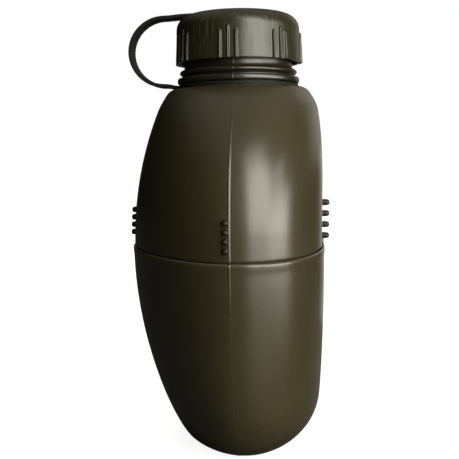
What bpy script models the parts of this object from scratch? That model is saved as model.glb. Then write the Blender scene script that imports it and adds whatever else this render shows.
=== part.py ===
"""Water canteen with a screw cap, a retaining strap and a nesting cup.

Lengths are in metres and +Z is up. The neck's axis is the Z axis, and the flat
that the cup stands on is at Z = 0. The canteen's broad side runs along Y, its
rounded front faces -X and its hollowed back faces +X.
"""
import math

import bmesh
import bpy
from mathutils import Vector

# Cup and canteen, seen from the narrow end
FRONT_DEPTH = 0.0481
BACK_DEPTH = 0.0388
HALF_LENGTH = 0.0703
BULGE_LEVEL = 0.0856
FRONT_ARC_LOWER = 0.1747
FRONT_ARC_UPPER = 0.1592
BACK_ARC = 0.729
END_ARC = 0.213
FOOT_RISE = 0.026
BACK_FOOT_RISE = 0.0194
FOOT_REACH = 0.0184
FRONT_FOOT_RISE = 0.0034
FRONT_FOOT_REACH = 0.0056
SHOULDER_HEIGHT = 0.1541
SHOULDER_CROWN = 0.0042
BACK_SHOULDER_RISE = 0.0468
BACK_SHOULDER_REACH = 0.0088
END_SHOULDER_RISE = 0.0629
END_SHOULDER_REACH = 0.0527
SHOULDER_BEND_RISE = 0.0090
FRONT_BEND_REACH = 0.0013
BACK_BEND_REACH = 0.0026
END_BEND_REACH = 0.0015
BEND_POWER = 1.5
SHOULDER_ROUND_RISE = 0.0018
SHOULDER_ROUND_REACH = 0.0014

# Shape of a level cut through the canteen
FRONT_EXPONENT = 1.68
BACK_EXPONENT = 2.38
END_CREST = 0.0024
HOLLOW_DEPTH = 0.0012
HOLLOW_HALF_WIDTH = 0.030
HOLLOW_LEVEL = 0.084
HOLLOW_HALF_HEIGHT = 0.073
SECTION_POINTS = 44

# Cup
CUP_HEIGHT = 0.0861
CUP_WALL = 0.0014
CUP_FLOOR = 0.0018
FIT_GAP = 0.00035

# Canteen shell
SHELL_WALL = 0.0016
STEP_FRONT = 0.0005
STEP_END = 0.0010
STEP_BACK = 0.0009
NUB_RADIUS = 0.0014
NUB_COUNT = 4
NUB_PITCH = 0.0034
END_NUB_RISE = 0.0048
END_NUB_HEIGHT = 0.0022
END_NUB_OFFSET = 0.0013
FRONT_NUB_RISE = 0.0045
FRONT_NUB_HEIGHT = 0.0028
BACK_NUB_RISE = 0.0027
BACK_NUB_PITCH = 0.00495
BACK_NUB_HEIGHT = 0.0034

# Neck
NECK_RADIUS = 0.0239
NECK_BORE = 0.0217
FLANGE_RADIUS = 0.0270
FLANGE_THICKNESS = 0.0026
FLANGE_ROUND = 0.0008
BEAD_RADIUS = 0.02595
BEAD_THICKNESS = 0.0026
BEAD_LIFT = 0.0009
CAP_LIFT = 0.0027
NECK_LENGTH = 0.0273
LIP_ROUND = 0.0008

# Screw thread, right-handed
THREAD_PITCH = 0.0042
THREAD_DEPTH = 0.0012
THREAD_ROOT_WIDTH = 0.0018
THREAD_CREST_WIDTH = 0.0009
THREAD_SLACK = 0.0005
NECK_THREAD_START = 0.0150
NECK_THREAD_TURNS = 1.5
CAP_THREAD_TURNS = 1.25
THREAD_FADE = 0.12
THREAD_RUNOUT = 0.3

# Screw cap
CAP_WALL = 0.0019
CAP_TOP_THICKNESS = 0.0024
CAP_CORNER = 0.0064
CAP_DRAFT = 0.0004
RIB_GROUP_DEGREES = (-191.1, -142.5, -93.4, -45.0, 3.6, 58.7, 113.8)
RIBS_PER_GROUP = 3
RIB_SPACING_DEGREES = 7.0
RIB_WIDTH = 0.0017
RIB_HEIGHT = 0.0010
RIB_DEPTH = 0.0008
MIDDLE_RIB_LENGTH = 0.0134
SIDE_RIB_LENGTH = 0.0117
# Along a rib: share of its length, of its width and of its height
RIB_STATIONS = ((0.012, 1.0, 1.0), (0.86, 0.80, 0.75), (1.0, 0.50, -0.4))
# Across a rib, from its middle: share of its half width and of its height
RIB_SHOULDER = (0.85, 0.45)
RIB_CREST = (0.40, 1.00)
SEAL_THICKNESS = 0.0016
SEAT_GAP = 0.0003
SOFT_EDGE = 0.0004

# Retaining strap and the stud that holds it on the cap
STRAP_THICKNESS = 0.0017
STRAP_WIDTH = 0.0080
STRAP_REACH = 0.0326
STRAP_TUCK = 0.0010
STRAP_DROOP = 0.0009
# Along the strap over the cap: share of the way to the loop, and of the droop
STRAP_STATIONS = ((0.35, 0.0), (0.60, 0.12), (0.80, 0.60))
THIN_STATIONS = 3
NECK_RING_WIDTH = 0.0024
NECK_RING_GAP = 0.0003
CAP_RING_RADIUS = 0.0092
CAP_RING_THICKNESS = 0.0012
BOSS_RADIUS = 0.0050
BOSS_GAP = 0.0004
STUD_HEAD_RADIUS = 0.0068
STUD_HEAD_THICKNESS = 0.0008
STUD_HEAD_ROUND = 0.0006
STUD_SHANK_RADIUS = 0.0026
STUD_SHANK_LENGTH = 0.0028

# Levels and radii that follow from the sizes above
GROOVE_HEIGHT = STRAP_THICKNESS + 2 * NECK_RING_GAP
FLANGE_LEVEL = SHOULDER_HEIGHT + GROOVE_HEIGHT
BEAD_LEVEL = FLANGE_LEVEL + FLANGE_THICKNESS + BEAD_LIFT
CAP_LEVEL = BEAD_LEVEL + BEAD_THICKNESS + CAP_LIFT
NECK_TOP = SHOULDER_HEIGHT + NECK_LENGTH
CAP_INNER_TOP = NECK_TOP + SEAL_THICKNESS + 2 * SEAT_GAP
CAP_TOP = CAP_INNER_TOP + CAP_TOP_THICKNESS
CAP_BORE = NECK_RADIUS + THREAD_DEPTH + THREAD_SLACK
CAP_RADIUS = CAP_BORE + CAP_WALL
STRAP_LEVEL = CAP_TOP + SEAT_GAP + CAP_RING_THICKNESS / 2
RING_LEVEL = SHOULDER_HEIGHT + NECK_RING_GAP + STRAP_THICKNESS / 2
RING_BORE = NECK_RADIUS + NECK_RING_GAP
RING_RADIUS = RING_BORE + NECK_RING_WIDTH
STUD_LEVEL = CAP_TOP + CAP_RING_THICKNESS + 2 * SEAT_GAP
SHELL_INSET = CUP_WALL + FIT_GAP
SHELL_FLOOR = CUP_FLOOR + FIT_GAP


def clear_scene():
    for thing in list(bpy.data.objects):
        bpy.data.objects.remove(thing, do_unlink=True)


def make_material(name, colour, roughness, metallic=0.0):
    material = bpy.data.materials.new(name)
    material.use_nodes = True
    shader = material.node_tree.nodes["Principled BSDF"]
    shader.inputs["Base Color"].default_value = (*colour, 1.0)
    shader.inputs["Roughness"].default_value = roughness
    shader.inputs["Metallic"].default_value = metallic
    return material


def add_frame(name, level, parent=None):
    """An empty on the neck's axis, which carries one moving body."""
    frame = bpy.data.objects.new(name, None)
    bpy.context.collection.objects.link(frame)
    frame.parent = parent
    base = parent["level"] if parent else 0.0
    frame["level"] = level
    frame.location = (0.0, 0.0, level - base)
    return frame


def add_object(name, bm, material, parent, guide=False):
    """Mesh points are given in world places and stored about the parent's frame."""
    bmesh.ops.remove_doubles(bm, verts=bm.verts, dist=1e-7)
    bmesh.ops.recalc_face_normals(bm, faces=bm.faces)
    bmesh.ops.translate(bm, verts=bm.verts, vec=(0.0, 0.0, -parent["level"]))
    mesh = bpy.data.meshes.new(name)
    bm.to_mesh(mesh)
    bm.free()
    mesh.shade_smooth()
    mesh.set_sharp_from_angle(angle=math.radians(40))
    part = bpy.data.objects.new(name, mesh)
    bpy.context.collection.objects.link(part)
    part.parent = parent
    if guide:
        part.hide_render = True
        part.display_type = "WIRE"
    else:
        mesh.materials.append(material)
    return part


def join_shape(part, tool):
    """Join a second shape to a part, as one moulding."""
    union = part.modifiers.new(tool.name, "BOOLEAN")
    union.operation = "UNION"
    union.solver = "EXACT"
    union.object = tool


def arc_setback(offset, radius):
    """How far an arc of this radius has drawn in, this far from its widest level."""
    return radius - math.sqrt(radius * radius - offset * offset)


def corner_setback(height, reach, rise):
    """How far a rounded corner draws in, this far above its flat."""
    if height >= rise:
        return 0.0
    ratio = (rise - max(height, 0.0)) / rise
    return reach * (1.0 - math.sqrt(1.0 - ratio * ratio))


def ease(value):
    value = min(max(value, 0.0), 1.0)
    return value * value * (3.0 - 2.0 * value)


def foot_extents(level):
    """Front, back and end of the outside at a level of the cup."""
    drop = BULGE_LEVEL - level
    front = FRONT_DEPTH - arc_setback(drop, FRONT_ARC_LOWER)
    front -= corner_setback(level, FRONT_FOOT_REACH, FRONT_FOOT_RISE)
    back = BACK_DEPTH - arc_setback(drop, BACK_ARC)
    back -= corner_setback(level, FOOT_REACH, BACK_FOOT_RISE)
    end = HALF_LENGTH - arc_setback(drop, END_ARC)
    end -= corner_setback(level, FOOT_REACH, FOOT_RISE)
    return front, back, end


def shoulder_extents(level):
    """Front, back and end of the outside at a level above the cup."""
    below_crown = SHOULDER_HEIGHT + SHOULDER_CROWN - level
    front = FRONT_DEPTH - STEP_FRONT - arc_setback(level - BULGE_LEVEL, FRONT_ARC_UPPER)
    back = BACK_DEPTH - STEP_BACK
    back -= corner_setback(below_crown, BACK_SHOULDER_REACH, BACK_SHOULDER_RISE)
    end = HALF_LENGTH - STEP_END
    end -= corner_setback(below_crown, END_SHOULDER_REACH, END_SHOULDER_RISE)
    above_bend = max(level - SHOULDER_HEIGHT + SHOULDER_BEND_RISE, 0.0)
    bend = (above_bend / SHOULDER_BEND_RISE) ** BEND_POWER
    return front - FRONT_BEND_REACH * bend, back - BACK_BEND_REACH * bend, end - END_BEND_REACH * bend


def hollow_at(level):
    """Depth of the hollow down the middle of the back."""
    reach = (level - HOLLOW_LEVEL) / HOLLOW_HALF_HEIGHT
    return HOLLOW_DEPTH * max(0.0, 1.0 - reach * reach) ** 2


def section_row(extents, level, inset=0.0, height=None):
    """One level ring: a rounded front and a flatter, hollowed back."""
    front, back, end = (extent - inset for extent in extents)
    depth = hollow_at(level)
    row = []
    for number in range(SECTION_POINTS):
        turn = 2.0 * math.pi * number / SECTION_POINTS
        cosine, sine = math.cos(turn), math.sin(turn)
        exponent = 2.0 / (FRONT_EXPONENT if cosine < 0.0 else BACK_EXPONENT)
        along = end * math.copysign(abs(sine) ** exponent, sine)
        across = abs(cosine) ** exponent
        if cosine < 0.0:
            out = END_CREST - (front + END_CREST) * across
        else:
            out = END_CREST + (back - END_CREST) * across
            nearness = max(0.0, 1.0 - (along / HOLLOW_HALF_WIDTH) ** 2)
            out -= depth * nearness * nearness
        row.append(Vector((out, along, level if height is None else height)))
    return row


def circle_row(radius, height):
    turns = (2.0 * math.pi * number / SECTION_POINTS for number in range(SECTION_POINTS))
    return [Vector((radius * math.cos(t), radius * math.sin(t), height)) for t in turns]


def loft(rows):
    """Close a stack of rings into one solid, flat at both ends."""
    bm = bmesh.new()
    rings = [[bm.verts.new(point) for point in row] for row in rows]
    bm.faces.new(reversed(rings[0]))
    bm.faces.new(rings[-1])
    for lower, upper in zip(rings, rings[1:]):
        for number in range(len(lower)):
            after = (number + 1) % len(lower)
            bm.faces.new((lower[number], lower[after], upper[after], upper[number]))
    return bm


def turn_profile(profile, steps):
    """Spin an outline of radius and level pairs round the neck's axis."""
    bm = bmesh.new()
    points = [bm.verts.new((radius, 0.0, level)) for radius, level in profile]
    edges = [bm.edges.new(pair) for pair in zip(points, points[1:])]
    if profile[0][0] > 0.0:
        edges.append(bm.edges.new((points[-1], points[0])))
    bmesh.ops.spin(bm, geom=points + edges, cent=(0, 0, 0), axis=(0, 0, 1),
                   angle=2.0 * math.pi, steps=steps, use_merge=True)
    return bm


def quarter(centre_radius, centre_level, radius, start, end, points=4):
    """Points along an arc of an outline, from one angle in degrees to another."""
    arc = []
    for number in range(points):
        turn = math.radians(start + (end - start) * number / (points - 1))
        arc.append((centre_radius + radius * math.cos(turn),
                    centre_level + radius * math.sin(turn)))
    return arc


def corner_levels(bottom, rise, count):
    """Levels that crowd towards the foot of a rounded corner."""
    turns = (math.pi / 2.0 * number / count for number in range(count))
    return [bottom + rise * (1.0 - math.cos(turn)) for turn in turns]


def spread_levels(bottom, top, count):
    return [bottom + (top - bottom) * number / (count - 1) for number in range(count)]


def nested_row(height, floor, inset):
    """Ring of a surface that lies inside the cup's outside, over its own floor."""
    level = height - floor * (1.0 - height / CUP_HEIGHT)
    level = max(level, 0.0)
    return section_row(foot_extents(level), level, inset, height)


def shoulder_row(level, inset):
    """Ring above the cup, drawn in towards the flat that the neck stands on."""
    rounding = corner_setback(SHOULDER_HEIGHT - level, SHOULDER_ROUND_REACH, SHOULDER_ROUND_RISE)
    return section_row(shoulder_extents(level), level, inset + rounding)


def neck_outline():
    """Outside and inside of the neck, from the shoulder up and over the lip."""
    half_bead = BEAD_THICKNESS / 2.0
    round_centre = FLANGE_RADIUS - FLANGE_ROUND
    outline = [(NECK_RADIUS, SHOULDER_HEIGHT), (NECK_RADIUS, FLANGE_LEVEL)]
    outline += quarter(round_centre, FLANGE_LEVEL + FLANGE_ROUND, FLANGE_ROUND, -90, 0, 3)
    flange_top = FLANGE_LEVEL + FLANGE_THICKNESS
    outline += quarter(round_centre, flange_top - FLANGE_ROUND, FLANGE_ROUND, 0, 90, 3)
    outline.append((NECK_RADIUS, flange_top))
    outline.append((NECK_RADIUS, BEAD_LEVEL))
    bead_reach = BEAD_RADIUS - NECK_RADIUS
    for turn in (-60, -25, 25, 60):
        angle = math.radians(turn)
        outline.append((NECK_RADIUS + bead_reach * math.cos(angle),
                        BEAD_LEVEL + half_bead * (1.0 + math.sin(angle))))
    outline.append((NECK_RADIUS, BEAD_LEVEL + BEAD_THICKNESS))
    outline += quarter(NECK_RADIUS - LIP_ROUND, NECK_TOP - LIP_ROUND, LIP_ROUND, 0, 90, 3)
    outline += quarter(NECK_BORE + LIP_ROUND, NECK_TOP - LIP_ROUND, LIP_ROUND, 90, 180, 3)
    return outline


def make_canteen(material, frame):
    """Hollow shell: foot inside the cup, step over its rim, shoulder and neck."""
    step = CUP_HEIGHT + FIT_GAP
    rows = [nested_row(level, SHELL_FLOOR, SHELL_INSET)
            for level in corner_levels(SHELL_FLOOR, FOOT_RISE, 7)]
    rows += [nested_row(level, SHELL_FLOOR, SHELL_INSET)
             for level in spread_levels(SHELL_FLOOR + FOOT_RISE, step, 4)]
    rounding = SHOULDER_HEIGHT - SHOULDER_ROUND_RISE
    upper = spread_levels(step, rounding, 11)
    upper += [level for _, level in quarter(0.0, rounding, SHOULDER_ROUND_RISE, 0, 90, 6)][1:]
    rows += [shoulder_row(level, 0.0) for level in upper]
    rows += [circle_row(radius, level) for radius, level in neck_outline()]
    roof = SHOULDER_HEIGHT - SHELL_WALL
    rows.append(circle_row(NECK_BORE, roof))
    rows += [shoulder_row(level, SHELL_WALL)
             for level in spread_levels(roof - SHELL_WALL, step + SHELL_WALL, 9)]
    floor = SHELL_FLOOR + SHELL_WALL
    inset = SHELL_INSET + SHELL_WALL
    rows += [nested_row(level, floor, inset)
             for level in spread_levels(step, floor + FOOT_RISE, 4)]
    rows += [nested_row(level, floor, inset)
             for level in reversed(corner_levels(floor, FOOT_RISE, 4))]
    canteen = add_object("bottle_body", loft(rows), material, frame)
    join_shape(canteen, make_nubs(frame))
    start = SHOULDER_HEIGHT + NECK_THREAD_START
    thread = make_thread("neck_thread", NECK_RADIUS, 1.0, start, NECK_THREAD_TURNS, frame)
    join_shape(canteen, thread)
    return canteen


def add_nub(bm, foot, outward, height):
    """A small rounded cone that stands out from the shell."""
    side = Vector((0.0, 0.0, 1.0)).cross(outward)
    up = Vector((0.0, 0.0, 1.0))
    rings = []
    for share, width in ((-0.35, 1.0), (0.35, 1.0), (0.80, 0.78), (1.0, 0.40)):
        centre = foot + outward * height * share
        ring = []
        for number in range(8):
            turn = 2.0 * math.pi * number / 8
            reach = NUB_RADIUS * width
            point = centre + side * reach * math.cos(turn) + up * reach * math.sin(turn)
            ring.append(bm.verts.new(point))
        rings.append(ring)
    bm.faces.new(rings[0])
    bm.faces.new(rings[-1])
    for lower, upper in zip(rings, rings[1:]):
        for number in range(8):
            after = (number + 1) % 8
            bm.faces.new((lower[number], lower[after], upper[after], upper[number]))


def make_nubs(frame):
    """Four upright rows of nubs, on the front, the back and both ends."""
    bm = bmesh.new()
    for number in range(NUB_COUNT):
        level = CUP_HEIGHT + END_NUB_RISE + NUB_PITCH * number
        end = shoulder_extents(level)[2]
        for side in (-1.0, 1.0):
            add_nub(bm, Vector((END_CREST - END_NUB_OFFSET, side * end, level)),
                    Vector((0.0, side, 0.0)), END_NUB_HEIGHT)
        level = CUP_HEIGHT + FRONT_NUB_RISE + NUB_PITCH * number
        front = shoulder_extents(level)[0]
        add_nub(bm, Vector((-front, 0.0, level)), Vector((-1.0, 0.0, 0.0)), FRONT_NUB_HEIGHT)
        level = CUP_HEIGHT + BACK_NUB_RISE + BACK_NUB_PITCH * number
        back = shoulder_extents(level)[1] - hollow_at(level)
        add_nub(bm, Vector((back, 0.0, level)), Vector((1.0, 0.0, 0.0)), BACK_NUB_HEIGHT)
    return add_object("nubs", bm, None, frame, guide=True)


def make_thread(name, radius, outward, start, turns, frame):
    """Helical ridge whose ends run out into the wall that carries it."""
    steps = round(24 * turns)
    sunk = THREAD_DEPTH / 2.0
    bm = bmesh.new()
    rings = []
    for number in range(steps + 1):
        share = number / steps
        fade = ease(min(share, 1.0 - share) / THREAD_FADE)
        proud = THREAD_DEPTH * (fade - THREAD_RUNOUT * (1.0 - fade))
        turn = 2.0 * math.pi * turns * share
        level = start + THREAD_PITCH * turns * share
        outline = ((-sunk, -THREAD_ROOT_WIDTH), (proud, -THREAD_CREST_WIDTH),
                   (proud, THREAD_CREST_WIDTH), (-sunk, THREAD_ROOT_WIDTH))
        ring = []
        for reach, width in outline:
            place = radius + outward * reach
            ring.append(bm.verts.new((place * math.cos(turn), place * math.sin(turn),
                                      level + width / 2.0)))
        rings.append(ring)
    bm.faces.new(rings[0])
    bm.faces.new(rings[-1])
    for lower, upper in zip(rings, rings[1:]):
        for corner in range(4):
            after = (corner + 1) % 4
            bm.faces.new((lower[corner], lower[after], upper[after], upper[corner]))
    return add_object(name, bm, None, frame, guide=True)


def make_cup(material, frame):
    """Deep cup of even wall, open at the top, with a rounded rim."""
    rim = CUP_WALL / 2.0
    rows = [nested_row(level, 0.0, 0.0) for level in corner_levels(0.0, FOOT_RISE, 10)]
    rows += [nested_row(level, 0.0, 0.0)
             for level in spread_levels(FOOT_RISE, CUP_HEIGHT - rim, 6)]
    for degrees in (45, 90, 135):
        turn = math.radians(degrees)
        rows.append(nested_row(CUP_HEIGHT - rim * (1.0 - math.sin(turn)), 0.0,
                               rim * (1.0 - math.cos(turn))))
    rows += [nested_row(level, CUP_FLOOR, CUP_WALL)
             for level in spread_levels(CUP_HEIGHT - rim, CUP_FLOOR + FOOT_RISE, 4)]
    rows += [nested_row(level, CUP_FLOOR, CUP_WALL)
             for level in reversed(corner_levels(CUP_FLOOR, FOOT_RISE, 5))]
    return add_object("cup", loft(rows), material, frame)


def make_ribs(frame):
    """Grip ribs in groups of three, the middle one longer."""
    bm = bmesh.new()
    crest, shoulder = RIB_CREST, RIB_SHOULDER
    for group in RIB_GROUP_DEGREES:
        for place in range(RIBS_PER_GROUP):
            middle = place == RIBS_PER_GROUP // 2
            length = MIDDLE_RIB_LENGTH if middle else SIDE_RIB_LENGTH
            turn = math.radians(group + RIB_SPACING_DEGREES * (place - (RIBS_PER_GROUP - 1) / 2.0))
            outward = Vector((math.cos(turn), math.sin(turn), 0.0))
            side = Vector((-math.sin(turn), math.cos(turn), 0.0))
            rings = []
            for share, width, proud in RIB_STATIONS:
                level = CAP_LEVEL + length * share
                half = RIB_WIDTH * width / 2.0
                height = RIB_HEIGHT * proud
                ring = []
                for sideways, reach in ((-1.0, -RIB_DEPTH), (-shoulder[0], shoulder[1] * height),
                                        (-crest[0], crest[1] * height), (crest[0], crest[1] * height),
                                        (shoulder[0], shoulder[1] * height), (1.0, -RIB_DEPTH)):
                    point = outward * (CAP_RADIUS + reach) + side * half * sideways
                    ring.append(bm.verts.new((point.x, point.y, level)))
                rings.append(ring)
            bm.faces.new(rings[0])
            bm.faces.new(rings[-1])
            for lower, upper in zip(rings, rings[1:]):
                for corner in range(6):
                    after = (corner + 1) % 6
                    bm.faces.new((lower[corner], lower[after], upper[after], upper[corner]))
    return add_object("cap_ribs", bm, None, frame, guide=True)


def make_cap(material, frame):
    """Round cap: flat top with a boss, drafted skirt, threaded bore."""
    crown = CAP_RADIUS - CAP_DRAFT
    edge = SOFT_EDGE
    boss_top = CAP_TOP + CAP_RING_THICKNESS + SEAT_GAP
    socket = STUD_SHANK_RADIUS + SEAT_GAP
    socket_floor = STUD_LEVEL - STUD_SHANK_LENGTH - SEAT_GAP
    outline = [(0.0, socket_floor), (socket, socket_floor), (socket, boss_top),
               (BOSS_RADIUS, boss_top), (BOSS_RADIUS, CAP_TOP)]
    outline += quarter(crown - CAP_CORNER, CAP_TOP - CAP_CORNER, CAP_CORNER, 90, 0, 6)
    outline += [(CAP_RADIUS, CAP_LEVEL + edge), (CAP_RADIUS - edge, CAP_LEVEL)]
    outline += [(CAP_BORE + edge, CAP_LEVEL), (CAP_BORE, CAP_LEVEL + edge)]
    outline += [(CAP_BORE, CAP_INNER_TOP), (0.0, CAP_INNER_TOP)]
    cap = add_object("screw_cap", turn_profile(outline, 48), material, frame)
    join_shape(cap, make_ribs(frame))
    start = SHOULDER_HEIGHT + NECK_THREAD_START - THREAD_PITCH / 2.0
    thread = make_thread("cap_thread", CAP_BORE, -1.0, start, CAP_THREAD_TURNS, frame)
    join_shape(cap, thread)
    return cap


def make_seal(material, frame):
    """Soft disc that the cap presses onto the neck's lip."""
    radius = CAP_BORE - SEAT_GAP
    bottom = NECK_TOP + SEAT_GAP
    top = bottom + SEAL_THICKNESS
    outline = [(0.0, bottom), (radius, bottom), (radius, top), (0.0, top)]
    return add_object("cap_seal", turn_profile(outline, 32), material, frame)


def make_stud(material, frame):
    """Press-in stud with a low round-edged head."""
    radius = STUD_HEAD_RADIUS
    top = STUD_LEVEL + STUD_HEAD_THICKNESS
    outline = [(0.0, top)]
    outline += quarter(radius - STUD_HEAD_ROUND, top - STUD_HEAD_ROUND, STUD_HEAD_ROUND, 90, 0)
    outline += [(radius, STUD_LEVEL), (STUD_SHANK_RADIUS, STUD_LEVEL),
                (STUD_SHANK_RADIUS, STUD_LEVEL - STUD_SHANK_LENGTH),
                (0.0, STUD_LEVEL - STUD_SHANK_LENGTH)]
    return add_object("cap_stud", turn_profile(outline, 32), material, frame)


def make_ring(name, bore, radius, level, thickness, material, frame, steps):
    """Flat ring with softened edges."""
    half = thickness / 2.0
    soft = SOFT_EDGE
    outline = [(bore + soft, level - half), (radius - soft, level - half),
               (radius, level - half + soft), (radius, level + half - soft),
               (radius - soft, level + half), (bore + soft, level + half),
               (bore, level + half - soft), (bore, level - half + soft)]
    return add_object(name, turn_profile(outline, steps), material, frame)


def strap_route():
    """Middle line of the strap, from the cap's ring round to the neck's ring."""
    start = -(CAP_RING_RADIUS + SEAT_GAP)
    finish = -(RING_RADIUS + SEAT_GAP)
    loop = (STRAP_LEVEL - STRAP_DROOP - RING_LEVEL) / 2.0
    route = [Vector((start, 0.0, STRAP_LEVEL))]
    route += [Vector((start + (-STRAP_REACH - start) * share, 0.0, STRAP_LEVEL - STRAP_DROOP * droop))
              for share, droop in STRAP_STATIONS]
    for number in range(17):
        turn = math.radians(90.0 + 180.0 * number / 16)
        drop = STRAP_TUCK * (1.0 - math.sin(turn)) / 2.0
        route.append(Vector((-STRAP_REACH + loop * math.cos(turn), 0.0,
                             RING_LEVEL + loop * (1.0 + math.sin(turn)) + drop)))
    last = route[-1]
    route.append(Vector((finish + (last.x - finish) * 0.45, 0.0,
                         RING_LEVEL + (last.z - RING_LEVEL) * 0.35)))
    route.append(Vector((finish, 0.0, RING_LEVEL)))
    return route


def make_strap(material, frame):
    """Flat band with softened edges, swept along its route and thinner on the cap."""
    half_width = STRAP_WIDTH / 2.0
    half = STRAP_THICKNESS / 2.0
    soft = SOFT_EDGE
    outline = ((-half_width + soft, -half), (half_width - soft, -half),
               (half_width, -half + soft), (half_width, half - soft),
               (half_width - soft, half), (-half_width + soft, half),
               (-half_width, half - soft), (-half_width, -half + soft))
    route = strap_route()
    across = Vector((0.0, 1.0, 0.0))
    bm = bmesh.new()
    rings = []
    for number, point in enumerate(route):
        before = route[max(number - 1, 0)]
        after = route[min(number + 1, len(route) - 1)]
        along = (after - before).normalized()
        if number in (0, len(route) - 1):
            along = Vector((math.copysign(1.0, along.x), 0.0, 0.0))
        normal = across.cross(along)
        if number < THIN_STATIONS:
            normal *= CAP_RING_THICKNESS / STRAP_THICKNESS
        rings.append([bm.verts.new(point + across * sideways + normal * out)
                      for sideways, out in outline])
    bm.faces.new(rings[0])
    bm.faces.new(rings[-1])
    for lower, upper in zip(rings, rings[1:]):
        for corner in range(len(outline)):
            following = (corner + 1) % len(outline)
            bm.faces.new((lower[corner], lower[following], upper[following], upper[corner]))
    return add_object("strap_band", bm, material, frame)


def main():
    clear_scene()
    shell = make_material("shell_plastic", (0.045, 0.041, 0.028), 0.42)
    cup_plastic = make_material("cup_plastic", (0.045, 0.041, 0.028), 0.42)
    cap_plastic = make_material("cap_plastic", (0.055, 0.052, 0.036), 0.38)
    strap_rubber = make_material("strap_rubber", (0.018, 0.020, 0.015), 0.50)
    seal_rubber = make_material("seal_rubber", (0.30, 0.29, 0.26), 0.60)
    cup_frame = add_frame("cup_frame", 0.0)
    bottle_frame = add_frame("bottle_frame", SHELL_FLOOR, cup_frame)
    ring_frame = add_frame("cap_ring_frame", STRAP_LEVEL, bottle_frame)
    cap_frame = add_frame("cap_frame", CAP_LEVEL, ring_frame)
    make_cup(cup_plastic, cup_frame)
    make_canteen(shell, bottle_frame)
    make_ring("strap_neck_ring", RING_BORE, RING_RADIUS, RING_LEVEL, STRAP_THICKNESS,
              strap_rubber, bottle_frame, 36)
    make_strap(strap_rubber, bottle_frame)
    make_ring("strap_cap_ring", BOSS_RADIUS + BOSS_GAP, CAP_RING_RADIUS, STRAP_LEVEL,
              CAP_RING_THICKNESS, strap_rubber, ring_frame, 28)
    make_cap(cap_plastic, cap_frame)
    make_seal(seal_rubber, cap_frame)
    make_stud(cap_plastic, cap_frame)


main()
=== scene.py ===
import math

import bmesh
import bpy
from mathutils import Matrix, Vector


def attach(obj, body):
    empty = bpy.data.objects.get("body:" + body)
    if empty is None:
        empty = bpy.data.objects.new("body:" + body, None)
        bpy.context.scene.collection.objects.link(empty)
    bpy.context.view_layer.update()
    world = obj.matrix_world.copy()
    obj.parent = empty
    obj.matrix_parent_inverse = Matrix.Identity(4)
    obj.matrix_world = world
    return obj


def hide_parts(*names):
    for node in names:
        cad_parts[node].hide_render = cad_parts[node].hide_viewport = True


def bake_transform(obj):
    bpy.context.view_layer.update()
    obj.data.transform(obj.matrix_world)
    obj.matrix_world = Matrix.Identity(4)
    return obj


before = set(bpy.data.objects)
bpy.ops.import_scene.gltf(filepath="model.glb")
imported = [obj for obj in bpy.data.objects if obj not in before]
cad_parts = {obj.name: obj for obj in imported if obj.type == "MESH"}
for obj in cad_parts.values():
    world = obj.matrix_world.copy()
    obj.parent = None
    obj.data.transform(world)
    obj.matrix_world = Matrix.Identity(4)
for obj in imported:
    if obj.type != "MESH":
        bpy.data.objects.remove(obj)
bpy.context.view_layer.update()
print("frame loaded")

# Points closer than this become one, in metres: on wrapped sheets and on spun profiles
sheetMerge = 3e-7
spunMerge = 2e-6
# A cosine smaller than this is rounding, and counts as none
nearZero = 1e-12


# Curves and rings that several pieces share

def ease(value):
    value = min(max(value, 0.0), 1.0)
    return value * value * (3.0 - 2.0 * value)


def hump(offset, width):  # smooth bump: 1 in the middle, 0 at one width away
    return ease(1.0 - abs(offset) / width)


def spread(first, last, count):
    return [first + (last - first) * number / (count - 1) for number in range(count)]


def crowded(first, last, count):  # like spread, but closer together near the first value
    return [first + (last - first) * (1.0 - math.cos(math.pi / 2.0 * number / (count - 1)))
            for number in range(count)]


def arcOutline(centreRadius, centreLevel, radius, first, last, count):
    turns = [math.radians(angle) for angle in spread(first, last, count)]
    return [(centreRadius + radius * math.cos(turn), centreLevel + radius * math.sin(turn))
            for turn in turns]


def onCircle(turn, radius, level):
    return Vector((radius * math.cos(turn), radius * math.sin(turn), level))


def wrapSheet(columns, rows, place):  # a grid wrapped round into one closed skin
    bm = bmesh.new()
    bmesh.ops.create_grid(bm, x_segments=columns, y_segments=rows - 1, size=1.0)
    for vert in bm.verts:
        column = round((vert.co.x + 1.0) / 2.0 * columns) % columns
        row = round((vert.co.y + 1.0) / 2.0 * (rows - 1))
        vert.co = place(column, row)
    bmesh.ops.remove_doubles(bm, verts=bm.verts, dist=sheetMerge)
    return bm


def spinOutline(bm, outline, steps):  # a profile turned once round the upright axis
    points = [bm.verts.new((radius, 0.0, level)) for radius, level in outline]
    edges = [bm.edges.new(pair) for pair in zip(points, points[1:])]
    bmesh.ops.spin(bm, geom=points + edges, cent=(0, 0, 0), axis=(0, 0, 1), angle=2.0 * math.pi,
                   steps=steps, use_merge=True)


def addObject(name, data):
    made = bpy.data.objects.new(name, data)
    bpy.context.scene.collection.objects.link(made)
    return made


def finishPiece(name, bm, material, sharp=50.0):
    bmesh.ops.recalc_face_normals(bm, faces=bm.faces)
    mesh = bpy.data.meshes.new(name)
    bm.to_mesh(mesh)
    bm.free()
    mesh.shade_smooth()
    mesh.set_sharp_from_angle(angle=math.radians(sharp))
    mesh.materials.append(material)
    piece = addObject(name, mesh)
    print(name, len(mesh.polygons), "faces")
    return piece


def paintVertices(piece, name, values):  # one value for each vertex, which the materials read
    attribute = piece.data.attributes.new(name, "FLOAT", "POINT")
    attribute.data.foreach_set("value", values)


# Materials

def addNode(tree, kind, **inputs):
    node = tree.nodes.new(kind)
    for key, value in inputs.items():
        if key in node.inputs:
            node.inputs[key].default_value = value
        else:
            setattr(node, key, value)
    return node


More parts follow.
